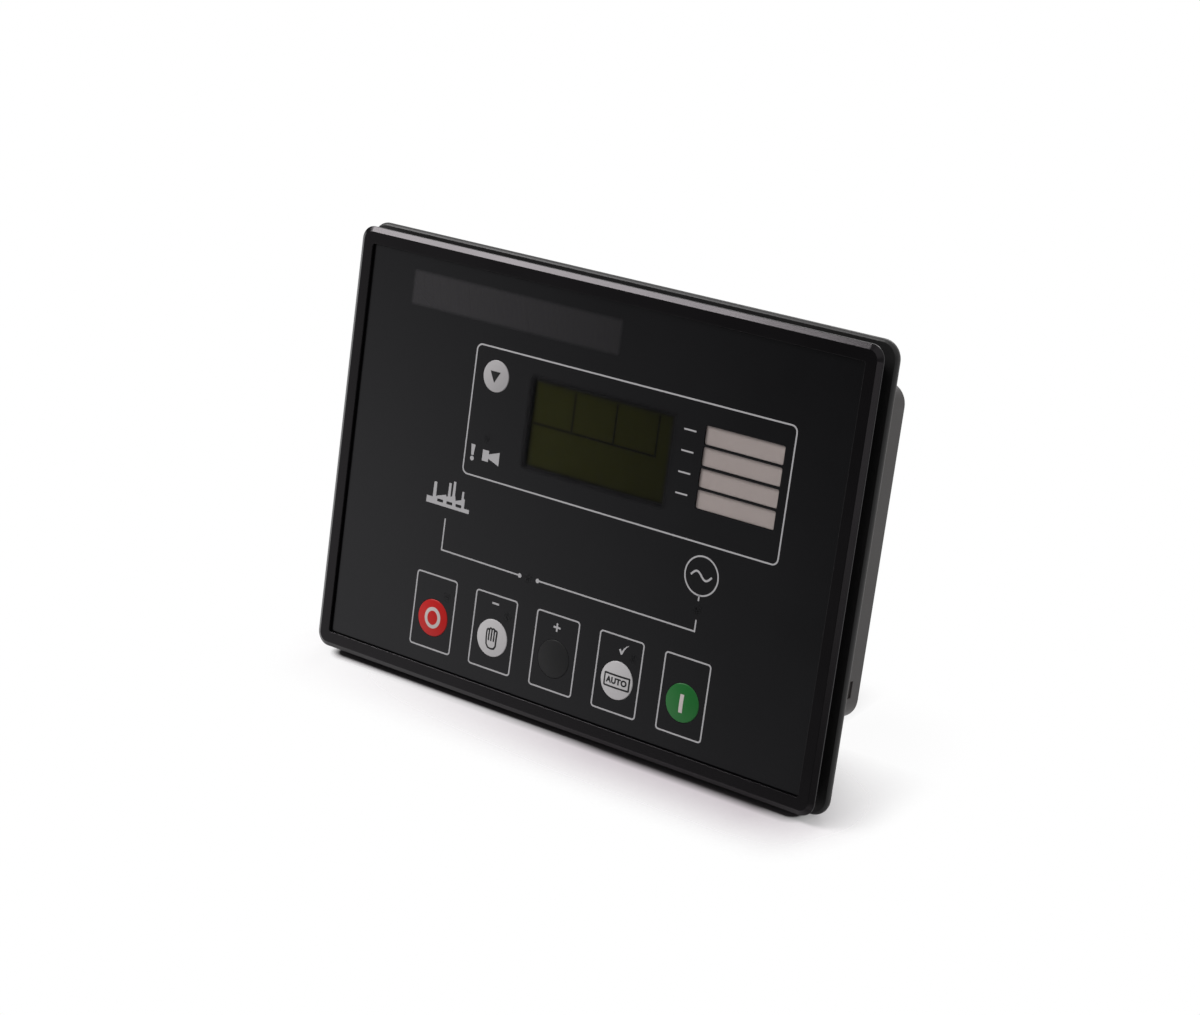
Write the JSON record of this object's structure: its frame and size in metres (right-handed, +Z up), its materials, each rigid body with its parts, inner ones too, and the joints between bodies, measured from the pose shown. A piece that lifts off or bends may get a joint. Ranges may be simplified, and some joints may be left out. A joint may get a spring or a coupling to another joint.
{
  "type": "generator set controller",
  "caption": "Panel-mount generator set controller: black flanged front with a film-covered display, round mode keys and a mimic diagram, and a rear box with terminal headers.",
  "frame": {"origin": "middle of the panel seat, on the flange's rear face", "axes": "+X to the viewer's right, +Y from the front through the panel to the back, +Z up"},
  "size_m": [0.24, 0.057, 0.172],
  "materials": {
    "bezel_plastic": "fine satin black moulding",
    "film": "satin printed film",
    "grey_card": "matt printed card",
    "white_card": "matt white card",
    "red_key": "satin",
    "white_key": "satin",
    "black_key": "satin",
    "green_key": "satin",
    "switch_plastic": "moulded",
    "led_resin": "smoked resin",
    "board_laminate": "solder mask",
    "screw_steel": "zinc plated",
    "display_glass": "olive liquid crystal",
    "display_frame": "black",
    "backlight_plastic": "diffuser",
    "contact_rubber": "soft",
    "connector_plastic": "moulded",
    "socket_plastic": "moulded",
    "ribbon_vinyl": "vinyl",
    "chip_resin": "moulded",
    "relay_plastic": "moulded",
    "pin_metal": "tinned",
    "capacitor_can": "sleeved",
    "terminal_plastic": "moulded",
    "contact_brass": "plated",
    "case_plastic": "fine spark-eroded texture"
  },
  "bodies": {
    "housing": {"front_bezel": "bezel_plastic", "membrane_overlay": "film", "title_card": "grey_card", "alarm_card": "white_card", "switch_bodies": "switch_plastic", "indicator_leds": "led_resin", "display_board": "board_laminate", "display_board_screws": "screw_steel", "lcd_glass": "display_glass", "lcd_frame": "display_frame", "lcd_backlight": "backlight_plastic", "lcd_contact_strips": "contact_rubber", "display_header": "connector_plastic", "display_socket": "socket_plastic", "ribbon_cable": "ribbon_vinyl", "main_socket": "socket_plastic", "main_header": "connector_plastic", "main_board": "board_laminate", "main_board_screws": "screw_steel", "processor": "chip_resin", "relays": "relay_plastic", "relay_pins": "pin_metal", "capacitors": "capacitor_can", "lower_headers": "terminal_plastic", "lower_pins": "pin_metal", "upper_headers": "terminal_plastic", "upper_pins": "pin_metal", "comms_socket": "connector_plastic", "comms_contacts": "contact_brass", "rear_case": "case_plastic", "case_screws": "screw_steel"},
    "stop_key": {"key_stop": "red_key", "plunger_stop": "switch_plastic"},
    "manual_key": {"key_manual": "white_key", "plunger_manual": "switch_plastic"},
    "blank_key": {"key_blank": "black_key", "plunger_blank": "switch_plastic"},
    "auto_key": {"key_auto": "white_key", "plunger_auto": "switch_plastic"},
    "start_key": {"key_start": "green_key", "plunger_start": "switch_plastic"},
    "scroll_key": {"key_scroll": "white_key", "plunger_scroll": "switch_plastic"}
  },
  "joints": [
    {"name": "stop_press", "type": "slide", "parent": "housing", "child": "stop_key", "axis": [0, 1, 0], "range_m": [0, 0.0004], "stiffness_N_per_m": 800},
    {"name": "manual_press", "type": "slide", "parent": "housing", "child": "manual_key", "axis": [0, 1, 0], "range_m": [0, 0.0004], "stiffness_N_per_m": 800},
    {"name": "blank_press", "type": "slide", "parent": "housing", "child": "blank_key", "axis": [0, 1, 0], "range_m": [0, 0.0004], "stiffness_N_per_m": 800},
    {"name": "auto_press", "type": "slide", "parent": "housing", "child": "auto_key", "axis": [0, 1, 0], "range_m": [0, 0.0004], "stiffness_N_per_m": 800},
    {"name": "start_press", "type": "slide", "parent": "housing", "child": "start_key", "axis": [0, 1, 0], "range_m": [0, 0.0004], "stiffness_N_per_m": 800},
    {"name": "scroll_press", "type": "slide", "parent": "housing", "child": "scroll_key", "axis": [0, 1, 0], "range_m": [0, 0.0004], "stiffness_N_per_m": 800}
  ]
}
